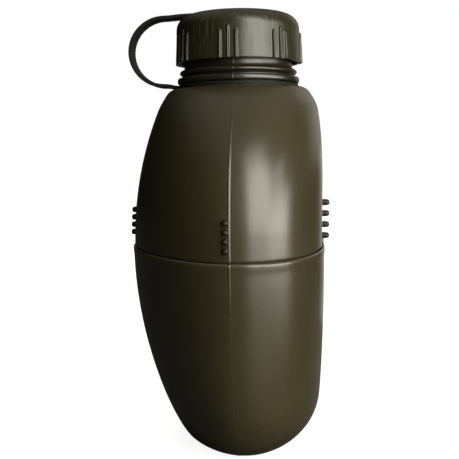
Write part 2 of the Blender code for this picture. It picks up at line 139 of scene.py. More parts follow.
def stretchedNoise(tree, scale, noiseScale, detail, roughness=0.5):
    coordinates = addNode(tree, "ShaderNodeTexCoord")
    mapping = addNode(tree, "ShaderNodeMapping", Scale=scale)
    noise = addNode(tree, "ShaderNodeTexNoise", Scale=noiseScale, Detail=detail,
                    Roughness=roughness)
    tree.links.new(coordinates.outputs["Object"], mapping.inputs["Vector"])
    tree.links.new(mapping.outputs["Vector"], noise.inputs["Vector"])
    return noise.outputs["Fac"]


def remap(tree, source, fromLow, fromHigh, toLow, toHigh):
    node = addNode(tree, "ShaderNodeMapRange", interpolation_type="SMOOTHSTEP")
    for name, value in (("From Min", fromLow), ("From Max", fromHigh),
                        ("To Min", toLow), ("To Max", toHigh)):
        node.inputs[name].default_value = value
    tree.links.new(source, node.inputs["Value"])
    return node.outputs["Result"]


def joinValues(tree, operation, first, second):
    node = addNode(tree, "ShaderNodeMath", operation=operation)
    for socket, value in zip(node.inputs, (first, second)):
        if isinstance(value, (int, float)):
            socket.default_value = value
        else:
            tree.links.new(value, socket)
    return node.outputs["Value"]


def mixColours(tree, share, first, second):
    node = addNode(tree, "ShaderNodeMix", data_type="RGBA")
    tree.links.new(share, node.inputs["Factor"])
    for socket, value in ((node.inputs[6], first), (node.inputs[7], second)):
        if isinstance(value, tuple):
            socket.default_value = (*value, 1.0)
        else:
            tree.links.new(value, socket)
    return node.outputs[2]


def addBump(tree, height, distance, below=None):
    bump = addNode(tree, "ShaderNodeBump", Strength=1.0, Distance=distance)
    tree.links.new(height, bump.inputs["Height"])
    if below is not None:
        tree.links.new(below, bump.inputs["Normal"])
    return bump.outputs["Normal"]


def mouldedPlastic(name, finish):
    material = bpy.data.materials.new(name)
    material.use_nodes = True
    tree = material.node_tree
    shader = tree.nodes["Principled BSDF"]
    shader.inputs["IOR"].default_value = finish["ior"]
    even = (1.0, 1.0, 1.0)
    cloud = stretchedNoise(tree, even, finish["cloudScale"], 3.0)
    grain = stretchedNoise(tree, even, finish["grainScale"], 4.0, 0.6)
    swell = stretchedNoise(tree, finish["swellStretch"], finish["swellScale"], 2.0)
    scuff = stretchedNoise(tree, finish["scuffStretch"], finish["scuffScale"], 5.0, 0.7)
    scuffTo = finish["scuffFrom"] + finish["scuffSpan"]
    scuffMask = remap(tree, scuff, finish["scuffFrom"], scuffTo, 0.0, 1.0)
    edge = addNode(tree, "ShaderNodeAttribute", attribute_name="wear").outputs["Fac"]
    wear = joinValues(tree, "MULTIPLY", edge, remap(tree, grain, *finish["tintSpan"], 0.5, 1.0))
    cloudMask = remap(tree, cloud, *finish["tintSpan"], 0.0, 1.0)
    tint = mixColours(tree, cloudMask, finish["dark"], finish["light"])
    for mask, strength in ((scuffMask, finish["scuffTint"]), (wear, finish["edgeTint"])):
        tint = mixColours(tree, joinValues(tree, "MULTIPLY", mask, strength), tint, finish["worn"])
    # Painted shade: where this attribute is set, the base colour goes most of the way to the
    # finish's darkest colour, as if in the cap's shadow
    paintedShade = addNode(tree, "ShaderNodeAttribute", attribute_name="paintedShade").outputs["Fac"]
    tint = mixColours(tree, paintedShade, tint, finish["paintedShade"])
    tree.links.new(tint, shader.inputs["Base Color"])
    satin = remap(tree, cloud, *finish["satinSpan"], finish["smooth"], finish["rough"])
    scuffed = joinValues(tree, "MULTIPLY", scuffMask, finish["scuffRough"])
    tree.links.new(joinValues(tree, "ADD", satin, scuffed), shader.inputs["Roughness"])
    normal = addBump(tree, swell, finish["swellHeight"])
    normal = addBump(tree, grain, finish["grainHeight"], normal)
    normal = addBump(tree, scuffMask, finish["scuffHeight"], normal)
    tree.links.new(normal, shader.inputs["Normal"])
    return material


# Apart from its scuffs, each finish keeps its roughness on one side of about 0.274, because the
# denoiser treats the two sides differently and would draw a line where a surface crosses it
shellFinish = {
    "dark": (0.0325, 0.0268, 0.0122), "light": (0.0380, 0.0316, 0.0150),
    # The darkest colour here is painted shade, used on the neck under the cap
    "worn": (0.15, 0.14, 0.10), "paintedShade": (0.0070, 0.0055, 0.0030), "ior": 1.58,
    "cloudScale": 14.0, "tintSpan": (0.35, 0.65), "satinSpan": (0.2, 0.8),
    "grainScale": 1500.0, "grainHeight": 0.000012,
    "swellStretch": (1.0, 1.0, 0.30), "swellScale": 45.0, "swellHeight": 0.00007,
    "scuffStretch": (1.0, 1.0, 0.15), "scuffScale": 700.0, "scuffFrom": 0.66, "scuffSpan": 0.08,
    "scuffTint": 0.10, "scuffRough": 0.06, "scuffHeight": 0.000006,
    "edgeTint": 0.35, "smooth": 0.28, "rough": 0.30,
}
# The cup's colours are the canteen's made a little darker, as painted shade on the lower part of
# the object; its roughness and cloud size are its own finish
cupShadedFinish = dict(
    shellFinish, cloudScale=17.0, smooth=0.250, rough=0.268,
    dark=(0.0306, 0.0252, 0.0115), light=(0.0358, 0.0298, 0.0141))
capFinish = dict(
    shellFinish, dark=(0.0155, 0.0143, 0.0060), light=(0.0195, 0.0179, 0.0078),
    smooth=0.28, rough=0.31, ior=1.52, scuffStretch=(1.0, 1.0, 0.03), scuffScale=900.0,
    scuffFrom=0.55, scuffTint=0.20, scuffRough=0.14, scuffHeight=0.000008,
    swellHeight=0.00002, grainHeight=0.000002, edgeTint=0.02)
strapFinish = dict(
    shellFinish, dark=(0.0055, 0.0057, 0.0038), light=(0.0075, 0.0078, 0.0054),
    worn=(0.05, 0.05, 0.04), smooth=0.55, rough=0.65, ior=1.28, swellHeight=0.00005,
    scuffFrom=0.68)
# The nubs are moulded with the canteen, but their colours are about a third of the canteen's:
# painted shade, which keeps them dark on the outline
nubShadedFinish = dict(
    shellFinish, dark=(0.0110, 0.0095, 0.0048), light=(0.0140, 0.0120, 0.0062),
    smooth=0.38, rough=0.46, ior=1.40, swellHeight=0.00002)
sealFinish = dict(
    shellFinish, dark=(0.27, 0.26, 0.23), light=(0.33, 0.32, 0.29), worn=(0.40, 0.39, 0.36),
    smooth=0.55, rough=0.65, swellHeight=0.00005)
shellPlastic = mouldedPlastic("shellPlastic", shellFinish)
cupShadedPlastic = mouldedPlastic("cupShadedPlastic", cupShadedFinish)
capPlastic = mouldedPlastic("capPlastic", capFinish)
strapPlastic = mouldedPlastic("strapPlastic", strapFinish)
nubShadedPlastic = mouldedPlastic("nubShadedPlastic", nubShadedFinish)
sealRubber = mouldedPlastic("sealRubber", sealFinish)
print("materials made")


# Outside of the canteen and its cup, in metres. Seen from the narrow end, the front is on the left.
form = {
    "frontDepth": 0.0481, "backDepth": 0.0388, "halfLength": 0.0703, "bulgeLevel": 0.0856,
    "frontArcLow": 0.1747, "frontArcHigh": 0.1592, "backArc": 0.729, "endArc": 0.213,
    "footRise": 0.026, "backFootRise": 0.0194, "footReach": 0.0184,
    "frontFootRise": 0.0034, "frontFootReach": 0.0056,
    "shoulderLevel": 0.1541, "crown": 0.0042,
    "backShoulderRise": 0.0468, "backShoulderReach": 0.0088,
    "endShoulderRise": 0.0629, "endShoulderReach": 0.0527,
    "bendRise": 0.0090, "bendPower": 1.5,
    "frontBend": 0.0013, "backBend": 0.0026, "endBend": 0.0015,
    "roundRise": 0.0018, "roundReach": 0.0014,
    "frontExponent": 1.68, "backExponent": 2.38, "crest": 0.0024,
    "hollowDepth": 0.0012, "hollowHalfWidth": 0.030,
    "hollowLevel": 0.084, "hollowHalfHeight": 0.073,
    "stepFront": 0.0005, "stepEnd": 0.0010, "stepBack": 0.0009,
    "columns": 224, "crowding": 0.90,
    "ridgeWidth": 0.00055, "ridgeHeight": 0.00024,
}


def arcDrop(offset, radius):
    return radius - math.sqrt(radius * radius - offset * offset)


def cornerDrop(height, reach, rise):
    if height >= rise:
        return 0.0
    ratio = (rise - max(height, 0.0)) / rise
    return reach * (1.0 - math.sqrt(1.0 - ratio * ratio))


def cupExtents(level):  # front, back and end
    drop = form["bulgeLevel"] - level
    front = form["frontDepth"] - arcDrop(drop, form["frontArcLow"])
    front -= cornerDrop(level, form["frontFootReach"], form["frontFootRise"])
    back = form["backDepth"] - arcDrop(drop, form["backArc"])
    back -= cornerDrop(level, form["footReach"], form["backFootRise"])
    end = form["halfLength"] - arcDrop(drop, form["endArc"])
    end -= cornerDrop(level, form["footReach"], form["footRise"])
    return front, back, end


def shellExtents(level):  # front, back and end
    below = form["shoulderLevel"] + form["crown"] - level
    front = form["frontDepth"] - form["stepFront"]
    front -= arcDrop(level - form["bulgeLevel"], form["frontArcHigh"])
    back = form["backDepth"] - form["stepBack"]
    back -= cornerDrop(below, form["backShoulderReach"], form["backShoulderRise"])
    end = form["halfLength"] - form["stepEnd"]
    end -= cornerDrop(below, form["endShoulderReach"], form["endShoulderRise"])
    above = max(level - form["shoulderLevel"] + form["bendRise"], 0.0)
    bend = (above / form["bendRise"]) ** form["bendPower"]
    return (front - form["frontBend"] * bend, back - form["backBend"] * bend,
            end - form["endBend"] * bend)


def columnTurn(column):  # closer together at the two narrow ends, where the parting line runs
    turn = 2.0 * math.pi * column / form["columns"]
    return turn + form["crowding"] / 2.0 * math.sin(2.0 * turn)


def ridgeAt(offset, strength):
    return strength * form["ridgeHeight"] * hump(offset, form["ridgeWidth"])


def sectionPoint(turn, extents, level, inset=0.0, height=None, ridge=0.0):
    front, back, end = (extent - inset for extent in extents)
    crest = form["crest"]
    cosine, sine = math.cos(turn), math.sin(turn)
    if abs(cosine) < nearZero:
        cosine = 0.0
    power = 2.0 / (form["frontExponent"] if cosine < 0.0 else form["backExponent"])
    along = end * math.copysign(abs(sine) ** power, sine)
    across = abs(cosine) ** power
    if cosine < 0.0:
        out = crest - (front + crest) * across
    else:
        reach = (level - form["hollowLevel"]) / form["hollowHalfHeight"]
        depth = form["hollowDepth"] * max(0.0, 1.0 - reach * reach) ** 2
        near = max(0.0, 1.0 - (along / form["hollowHalfWidth"]) ** 2)
        out = crest + (back - crest) * across - depth * near * near
    along += math.copysign(ridgeAt(out - crest, ridge), sine)
    return Vector((out, along, level if height is None else height))


# A point of a shell nested in the cup's outside, whose foot stands at its own floor
def nestedPoint(turn, height, floor, inset, rim, ridge=0.0):
    level = max(height - floor * (1.0 - height / rim), 0.0)
    return sectionPoint(turn, cupExtents(level), level, inset, height, ridge)


# Cup
cup = {
    "height": 0.0861, "wall": 0.0014, "floor": 0.0018, "rimBand": 0.004,
    "lip": 0.00022, "lipDrop": 0.0012, "lipDepth": 0.0034,
    "ridgeFrom": 0.0861, "ridgeTo": 0.056, "ridgeFaint": 0.12, "ridgeGain": 0.7,
    "mark": 0.9, "markLevel": 0.0012, "markReach": 0.0030,
    "wear": 0.6, "wearDrop": 0.0004, "wearReach": 0.0010,
}


def cupRidge(level):  # strong under the rim, faint lower down, with a short mark at the foot
    near = ease((level - cup["ridgeTo"]) / (cup["ridgeFrom"] - cup["ridgeTo"]))
    strength = cup["ridgeFaint"] + cup["ridgeGain"] * near
    return strength + cup["mark"] * hump(level - cup["markLevel"], cup["markReach"])


def makeCup():
    rim = cup["wall"] / 2.0
    top = cup["height"]
    band = top - cup["rimBand"]
    footTop = cup["floor"] + form["footRise"]
    rows = [("base", share, 0.0) for share in (0.0, 0.25, 0.5, 0.75, 0.92)]
    rows += [("out", level, 0.0) for level in crowded(0.0, form["footRise"], 34)]
    rows += [("out", level, 0.0) for level in spread(form["footRise"], band, 44)[1:]]
    rows += [("out", level, 0.0) for level in spread(band, top - rim, 8)[1:]]
    for angle in spread(15, 165, 11):
        turn = math.radians(angle)
        rows.append(("out", top - rim + rim * math.sin(turn), rim * (1.0 - math.cos(turn))))
    rows += [("in", level, cup["wall"]) for level in spread(top - rim, footTop, 20)]
    rows += [("in", level, cup["wall"])
             for level in reversed(crowded(cup["floor"], footTop, 16)[:-1])]
    rows += [("well", share, 0.0) for share in (0.7, 0.35, 0.0)]

    def place(column, row):
        turn = columnTurn(column)
        kind, level, inset = rows[row]
        if kind == "base":
            return sectionPoint(turn, cupExtents(0.0), 0.0) * level
        if kind == "well":
            point = nestedPoint(turn, cup["floor"], cup["floor"], cup["wall"], top)
            return Vector((point.x * level, point.y * level, point.z))
        if kind == "in":
            return nestedPoint(turn, level, cup["floor"], inset, top)
        lip = cup["lip"] * hump(level - (top - cup["lipDrop"]), cup["lipDepth"])
        return nestedPoint(turn, level, 0.0, inset - lip, top, cupRidge(level))

    bm = wrapSheet(form["columns"], len(rows), place)
    piece = finishPiece("cupShell", bm, cupShadedPlastic)
    paintVertices(piece, "wear", [
        cup["wear"] * hump(v.co.z - (top - cup["wearDrop"]), cup["wearReach"])
        for v in piece.data.vertices])
    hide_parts("cup")
    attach(piece, "cup")


makeCup()


# Canteen shell with its neck
shell = {
    "wall": 0.0016, "gap": 0.00035, "fineLevel": 0.145,
    "seamDepth": 0.0004, "seamHeight": 0.0009, "seamGap": 0.0001,
    "ridgeFadeLevel": 0.128, "ridgeFadeRise": 0.020, "ridgeLoss": 0.7, "flatRidge": 0.3,
    "neckRidge": 0.35, "neckRidgeFrom": 0.0005,
    "wear": 0.8, "wearReach": 0.0005, "wearTop": 0.140, "wearFade": 0.02,
    # The next three values paint shade on the neck: its strength, and the height over the shoulder
    # where it starts and fades in
    "paintedShade": 0.80, "paintedShadeLevel": 0.0001, "paintedShadeFade": 0.0004,
    "neckRadius": 0.0239, "neckBore": 0.0217, "neckFoot": 0.0004,
    "flangeLevel": 0.1564, "flangeRadius": 0.0270, "flangeThickness": 0.0026,
    "flangeRound": 0.0009, "flangeFillet": 0.0007, "filletRise": 0.0005,
    "beadLevel": 0.1599, "beadRadius": 0.02595, "beadThickness": 0.0026, "beadGap": 0.0003,
    "plainFrom": 0.1640, "plainTo": 0.1680, "threadRowsFrom": 0.1682, "threadRowsTo": 0.1764,
    "neckTop": 0.1814, "lipRound": 0.0008,
    "threadFrom": 0.168, "threadTo": 0.177,
    "threadStart": 0.1691, "threadPitch": 0.0042, "threadTurns": 1.5, "threadDepth": 0.0012,
    "threadRoot": 0.0018, "threadCrest": 0.0009, "threadFade": 0.12,
}


def threadHeight(turn, level, start, turns):  # a ridge that climbs one pitch for each turn
    turn = turn % (2.0 * math.pi)
    height = 0.0
    for winding in range(math.ceil(turns)):
        share = (turn / (2.0 * math.pi) + winding) / turns
        if share > 1.0:
            continue
        offset = abs(level - start - shell["threadPitch"] * turns * share)
        root, crest = shell["threadRoot"] / 2.0, shell["threadCrest"] / 2.0
        flank = min(max((root - offset) / (root - crest), 0.0), 1.0)
        height = max(height, flank * ease(min(share, 1.0 - share) / shell["threadFade"]))
    return height * shell["threadDepth"]


def neckOutline():
    neck = shell["neckRadius"]
    foot = shell["neckFoot"]
    outline = arcOutline(neck + foot, form["shoulderLevel"] + foot, foot, 270, 180, 4)
    level = shell["flangeLevel"]
    curve = shell["flangeRound"]
    outline.append((neck, level))
    outline += arcOutline(shell["flangeRadius"] - curve, level + curve, curve, 270, 360, 6)
    top = level + shell["flangeThickness"]
    outline += arcOutline(shell["flangeRadius"] - curve, top - curve, curve, 0, 80, 6)
    fillet = shell["flangeFillet"]
    outline += arcOutline(neck + fillet, top + shell["filletRise"], fillet, 250, 180, 5)
    reach = shell["beadRadius"] - neck
    half = shell["beadThickness"] / 2.0
    for angle in spread(-80, 80, 13):
        turn = math.radians(angle)
        outline.append((neck + reach * math.cos(turn),
                        shell["beadLevel"] + half * (1.0 + math.sin(turn))))
    outline.append((neck, shell["beadLevel"] + shell["beadThickness"] + shell["beadGap"]))
    outline += [(neck, level) for level in spread(shell["plainFrom"], shell["plainTo"], 4)]
    outline += [(neck, level)
                for level in spread(shell["threadRowsFrom"], shell["threadRowsTo"], 36)]
    curve = shell["lipRound"]
    outline += arcOutline(neck - curve, shell["neckTop"] - curve, curve, 0, 90, 5)
    outline += arcOutline(shell["neckBore"] + curve, shell["neckTop"] - curve, curve, 90, 180, 5)
    return outline


def makeShell():
    floor = cup["floor"] + shell["gap"]
    inset = cup["wall"] + shell["gap"]
    rim = cup["height"]
    roof = form["shoulderLevel"] - shell["wall"]
    deep = floor + shell["wall"]
    step = rim + shell["seamGap"]
    rounding = form["shoulderLevel"] - form["roundRise"]
    rows = [("base", share, 0.0) for share in (0.0, 0.4, 0.8)]
    rows += [("foot", level, 0.0) for level in crowded(floor, floor + form["footRise"], 16)]
    rows += [("foot", level, 0.0) for level in spread(floor + form["footRise"], step, 12)[1:]]
    rows += [("side", step + shell["seamHeight"] * share, shell["seamDepth"] * (1.0 - share) ** 2)
             for share in spread(0.0, 1.0, 6)]
    rows += [("side", level, 0.0)
             for level in spread(step + shell["seamHeight"], shell["fineLevel"], 66)[1:]]
    rows += [("side", level, 0.0) for level in spread(shell["fineLevel"], rounding, 18)[1:]]
    rows += [("side", level, 0.0)
             for _, level in arcOutline(0.0, rounding, form["roundRise"], 0, 90, 9)[1:]]
    rows += [("flat", share, 0.0) for share in (0.15, 0.5, 0.85)]
    rows += [("round", radius, level) for radius, level in neckOutline()]
    rows += [("round", shell["neckBore"], level) for level in (form["shoulderLevel"], roof)]
    rows += [("inner", level, 0.0)
             for level in spread(roof - shell["wall"], step + shell["wall"], 18)]
    rows += [("bowl", level, 0.0) for level in spread(step, deep + form["footRise"], 10)]
    rows += [("bowl", level, 0.0)
             for level in reversed(crowded(deep, deep + form["footRise"], 12)[:-1])]
    rows += [("well", share, 0.0) for share in (0.6, 0.3, 0.0)]

    def shoulderPoint(turn, level, inset, ridge=0.0):
        rounded = cornerDrop(form["shoulderLevel"] - level, form["roundReach"], form["roundRise"])
        return sectionPoint(turn, shellExtents(level), level, inset + rounded, ridge=ridge)

    def place(column, row):
        turn = columnTurn(column)
        kind, first, second = rows[row]
        if kind in ("base", "well"):
            depth = floor if kind == "base" else deep
            point = nestedPoint(turn, depth, depth, inset, rim)
            return Vector((point.x * first, point.y * first, depth))
        if kind == "foot":
            return nestedPoint(turn, first, floor, inset, rim)
        if kind == "bowl":
            return nestedPoint(turn, first, deep, inset + shell["wall"], rim)
        if kind == "side":
            fade = ease((first - shell["ridgeFadeLevel"]) / shell["ridgeFadeRise"])
            return shoulderPoint(turn, first, second, 1.0 - shell["ridgeLoss"] * fade)
        if kind == "flat":
            outer = shoulderPoint(turn, form["shoulderLevel"], 0.0, shell["flatRidge"])
            neckFoot = shell["neckRadius"] + shell["neckFoot"]
            return outer.lerp(onCircle(turn, neckFoot, form["shoulderLevel"]), first)
        if kind == "inner":
            return shoulderPoint(turn, first, shell["wall"])
        radius, level = first, second
        if radius > shell["neckBore"] + shell["neckRidgeFrom"] and level > form["shoulderLevel"]:
            radius += ridgeAt(radius * math.cos(turn), shell["neckRidge"])
        if shell["threadFrom"] < level < shell["threadTo"]:
            radius += threadHeight(turn, level, shell["threadStart"], shell["threadTurns"])
        return onCircle(turn, radius, level)

    bm = wrapSheet(form["columns"], len(rows), place)
    piece = finishPiece("canteenShell", bm, shellPlastic)

    def ridgeWear(point):  # on the parting line, from the cup's rim up to the shoulder
        if point.z <= rim:
            return 0.0
        near = hump(point.x - form["crest"], shell["wearReach"])
        return shell["wear"] * near * ease((shell["wearTop"] - point.z) / shell["wearFade"])

    # Painted shade: the neck above the shoulder is darkened as if in the cap's shadow
    def neckPaintedShade(point):
        above = point.z - form["shoulderLevel"] - shell["paintedShadeLevel"]
        return shell["paintedShade"] * ease(above / shell["paintedShadeFade"])

    paintVertices(piece, "wear", [ridgeWear(v.co) for v in piece.data.vertices])
    paintVertices(piece, "paintedShade", [neckPaintedShade(v.co) for v in piece.data.vertices])
    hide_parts("bottle_body")
    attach(piece, "canteen")


makeShell()


# Nubs: four upright rows, on the front, the back and both narrow ends
nub = {
    "radius": 0.0014, "endRadius": 0.0011, "straight": 0.42, "fullness": 0.55,
    "sunk": 0.0010, "foot": 0.00035, "sides": 32, "sharp": 60.0,
    "count": 4, "pitch": 0.0034, "endRise": 0.0048, "endHeight": 0.0022, "endOffset": 0.0013,
    "frontRise": 0.0045, "frontHeight": 0.0028,
    "backRise": 0.0027, "backPitch": 0.00495, "backHeight": 0.0034,
}


def makeNubs():
    bm = bmesh.new()

    def addNub(foot, outward, height, radius):
        straight = height * nub["straight"]
        outline = [(radius + nub["foot"], -nub["sunk"]), (radius + nub["foot"], 0.0)]
        outline += arcOutline(radius + nub["foot"], nub["foot"], nub["foot"], 250, 180, 4)
        for angle in spread(0, 90, 10):
            turn = math.radians(angle)
            outline.append((radius * max(math.cos(turn), 0.0) ** nub["fullness"],
                            straight + (height - straight) * math.sin(turn)))
        before = set(bm.verts)
        spinOutline(bm, outline, nub["sides"])
        turned = outward.to_track_quat("Z", "Y").to_matrix().to_4x4()
        bmesh.ops.transform(bm, matrix=Matrix.Translation(foot) @ turned,
                            verts=[v for v in bm.verts if v not in before])

    for number in range(nub["count"]):
        level = cup["height"] + nub["endRise"] + nub["pitch"] * number
        end = shellExtents(level)[2]
        for side in (-1.0, 1.0):
            addNub(Vector((form["crest"] - nub["endOffset"], side * end, level)),
                   Vector((0.0, side, 0.0)), nub["endHeight"], nub["endRadius"])
        level = cup["height"] + nub["frontRise"] + nub["pitch"] * number
        addNub(Vector((-shellExtents(level)[0], 0.0, level)), Vector((-1.0, 0.0, 0.0)),
               nub["frontHeight"], nub["radius"])
        level = cup["height"] + nub["backRise"] + nub["backPitch"] * number
        addNub(sectionPoint(0.0, shellExtents(level), level), Vector((1.0, 0.0, 0.0)),
               nub["backHeight"], nub["radius"])
    bmesh.ops.remove_doubles(bm, verts=bm.verts, dist=spunMerge)
    piece = finishPiece("shellNubs", bm, nubShadedPlastic, nub["sharp"])
    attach(piece, "canteen")


makeNubs()


# Screw cap with grip ribs
cap = {
    "radius": 0.0275, "bore": 0.0256, "level": 0.1652, "top": 0.1860, "innerTop": 0.1836,
    "corner": 0.0064, "draft": 0.0004, "edge": 0.0005, "boreEdge": 0.0003, "innerShare": 0.6,
    "bossRadius": 0.0050, "bossTop": 0.1875, "bossEdge": 0.0003, "bossFillet": 0.0002,
    "socket": 0.0029, "socketFloor": 0.1847, "socketEdge": 0.0002, "topRowsFrom": 0.009,
    "columns": 800, "ribsPerGroup": 3, "ribSpacing": 7.0,
    "groupAngles": (-191.1, -142.5, -93.4, -45.0, 3.6, 58.7, 113.8),
    "ribWidth": 0.0014, "ribHeight": 0.00100, "ribFlank": 0.00070, "ribTaper": 0.2,
    "ribFoot": 0.0001, "ribsInside": 0.02, "ribsBelow": 0.15,
    "middleLength": 0.0134, "sideLength": 0.0117, "wearFrom": 0.0005, "wearRise": 0.0005,
    "threadRowsFrom": 0.1658, "threadRowsTo": 0.1736, "threadTo": 0.175, "threadTurns": 1.25,
}


def ribHeight(angle, level):  # how far a rib stands out of the skirt here, or 0
    offset = min(((angle - group + 180.0) % 360.0 - 180.0 for group in cap["groupAngles"]),
                 key=abs)
    place = round(offset / cap["ribSpacing"])
    if abs(place) > cap["ribsPerGroup"] // 2:
        return 0.0
    aside = abs(math.radians(offset - place * cap["ribSpacing"])) * cap["radius"]
    length = cap["sideLength"] if place else cap["middleLength"]
    up = level - cap["level"]
    share = min(max(up / length, 0.0), 1.0)
    half = cap["ribWidth"] / 2.0
    distance = math.hypot(aside, max(up - (length - half), 0.0))
    height = cap["ribHeight"] * (1.0 - cap["ribTaper"] * share)
    return height * ease((half + cap["ribFoot"] - distance) / cap["ribFlank"])


def makeCap():
    crown = cap["radius"] - cap["draft"]
    bore, top, boss, edge = cap["bore"], cap["top"], cap["bossRadius"], cap["bossEdge"]
    outline = [(0.0, cap["socketFloor"]), (cap["socket"], cap["socketFloor"]),
               (cap["socket"], cap["bossTop"] - cap["socketEdge"])]
    outline += arcOutline(boss - edge, cap["bossTop"] - edge, edge, 90, 0, 4)
    outline += [(boss, top + cap["bossFillet"]), (boss + edge, top)]
    outline += [(radius, top)
                for radius in spread(cap["topRowsFrom"], crown - cap["corner"], 5)[:-1]]
    skirt = top - cap["corner"]
    outline += arcOutline(crown - cap["corner"], skirt, cap["corner"], 90, 0, 16)
    foot = cap["level"] + cap["edge"]
    outline += [(crown + cap["draft"] * ease((skirt - level) / (skirt - foot)), level)
                for level in spread(skirt, foot, 38)[1:]]
    outline += arcOutline(cap["radius"] - cap["edge"], foot, cap["edge"], 0, -90, 4)[1:]
    inside = len(outline)
    outline += [(bore + cap["boreEdge"], cap["level"]), (bore, cap["level"] + cap["boreEdge"])]
    outline += [(bore, level) for level in spread(cap["threadRowsFrom"], cap["threadRowsTo"], 30)]
    outline += [(radius, cap["innerTop"]) for radius in (bore, bore * cap["innerShare"], 0.0)]
    start = shell["threadStart"] - shell["threadPitch"] / 2.0

    def place(column, row):
        turn = 2.0 * math.pi * column / cap["columns"]
        radius, level = outline[row]
        if row >= inside:
            if radius == bore and level < cap["threadTo"]:
                radius -= threadHeight(turn, level, start, cap["threadTurns"])
        elif level < top - cap["corner"] * cap["ribsBelow"] and radius > cap["ribsInside"]:
            radius += ribHeight(math.degrees(turn), level)
        return onCircle(turn, radius, level)

    bm = wrapSheet(cap["columns"], len(outline), place)
    piece = finishPiece("capShell", bm, capPlastic)
    worn = cap["radius"] + cap["wearFrom"]
    paintVertices(piece, "wear", [
        ease((math.hypot(v.co.x, v.co.y) - worn) / cap["wearRise"]) for v in piece.data.vertices])
    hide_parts("screw_cap")
    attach(piece, "cap")


makeCap()


# Stud that holds the strap on the cap
stud = {
    "headRadius": 0.0068, "headFoot": 0.1878, "headThickness": 0.0008, "edge": 0.0005,
    "dentInset": 0.0022, "dentDepth": 0.00015, "headSides": 96, "sharp": 35.0,
    "shankRadius": 0.0026, "shankLength": 0.0028, "shankSides": 64, "overlap": 0.0003,
}


def makeStud():
    bm = bmesh.new()

    def addDisc(radius, foot, height, sides):
        centre = Matrix.Translation((0.0, 0.0, foot + height / 2.0))
        bmesh.ops.create_cone(bm, cap_ends=True, segments=sides, radius1=radius, radius2=radius,
                              depth=height, matrix=centre)

    addDisc(stud["headRadius"], stud["headFoot"], stud["headThickness"], stud["headSides"])
    middle = stud["headFoot"] + stud["headThickness"] / 2.0
    rim = [e for e in bm.edges if min(v.co.z for v in e.verts) > middle]
    bmesh.ops.bevel(bm, geom=rim, offset=stud["edge"], affect="EDGES", segments=5, profile=0.5,
                    material=-1)
    face = max(bm.faces, key=lambda f: f.calc_center_median().z)
    bmesh.ops.inset_region(bm, faces=[face], thickness=stud["dentInset"],
                           depth=-stud["dentDepth"])
    addDisc(stud["shankRadius"], stud["headFoot"] - stud["shankLength"],
            stud["shankLength"] + stud["overlap"], stud["shankSides"])
    piece = finishPiece("studHead", bm, capPlastic, stud["sharp"])
    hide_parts("cap_stud")
    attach(piece, "cap")


makeStud()


# Strap: one soft moulding with a ring round the neck and an eye on the cap
strap = {
    "thickness": 0.0017, "width": 0.0080, "soft": 0.00045, "reach": 0.0326, "tuck": 0.0010,
    "eyeThickness": 0.0012, "droop": 0.0009, "droopFrom": 0.0190,
    "thickFrom": 0.0205, "thickTo": 0.0270,
    "eyeLevel": 0.1869, "ringLevel": 0.15525, "eyeBore": 0.0054, "eyeRadius": 0.0092,
    "ringBore": 0.0242, "ringRadius": 0.0266, "ringColumns": 128, "overlap": 0.0007,
}


def stripOutline(halfWidth, thickness):  # outline of a flat strip with softened edges
    soft = strap["soft"]
    half = thickness / 2.0
    corners = ((halfWidth - soft, half - soft, 0), (-halfWidth + soft, half - soft, 90),
               (-halfWidth + soft, -half + soft, 180), (halfWidth - soft, -half + soft, 270))
    outline = []
    for wide, high, first in corners:
        outline += arcOutline(wide, high, soft, first, first + 90, 5)
    return outline


def makeRing(name, bore, radius, level, thickness, node, body):
    section = stripOutline((radius - bore) / 2.0, thickness)
    section.append(section[0])

    def place(column, row):
        turn = 2.0 * math.pi * column / strap["ringColumns"]
        out, up = section[row]
        return onCircle(turn, (bore + radius) / 2.0 + out, level + up)

    bm = wrapSheet(strap["ringColumns"], len(section), place)
    piece = finishPiece(name, bm, strapPlastic)
    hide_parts(node)
    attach(piece, body)


def strapRoute():  # from the eye over the cap, round the loop and back to the neck
    first = -(strap["eyeRadius"] - strap["overlap"])
    last = -(strap["ringRadius"] - strap["overlap"])
    loop = (strap["eyeLevel"] - strap["droop"] - strap["ringLevel"]) / 2.0
    bend = strap["reach"] - strap["droopFrom"]
    route = []
    for x in spread(first, -strap["reach"], 24)[:-1]:
        droop = strap["droop"] * ease((-x - strap["droopFrom"]) / bend)
        route.append(Vector((x, 0.0, strap["eyeLevel"] - droop)))
    for angle in spread(90, 270, 61):
        turn = math.radians(angle)
        drop = strap["tuck"] * (1.0 - math.sin(turn)) / 2.0
        route.append(Vector((-strap["reach"] + loop * math.cos(turn), 0.0,
                             strap["ringLevel"] + loop * (1.0 + math.sin(turn)) + drop)))
    end = route[-1]
    rise = end.z - strap["ringLevel"]
    for share in spread(0.0, 1.0, 8)[1:]:
        route.append(Vector((end.x + (last - end.x) * share, 0.0,
                             strap["ringLevel"] + rise * (1.0 - ease(share)))))
    return route


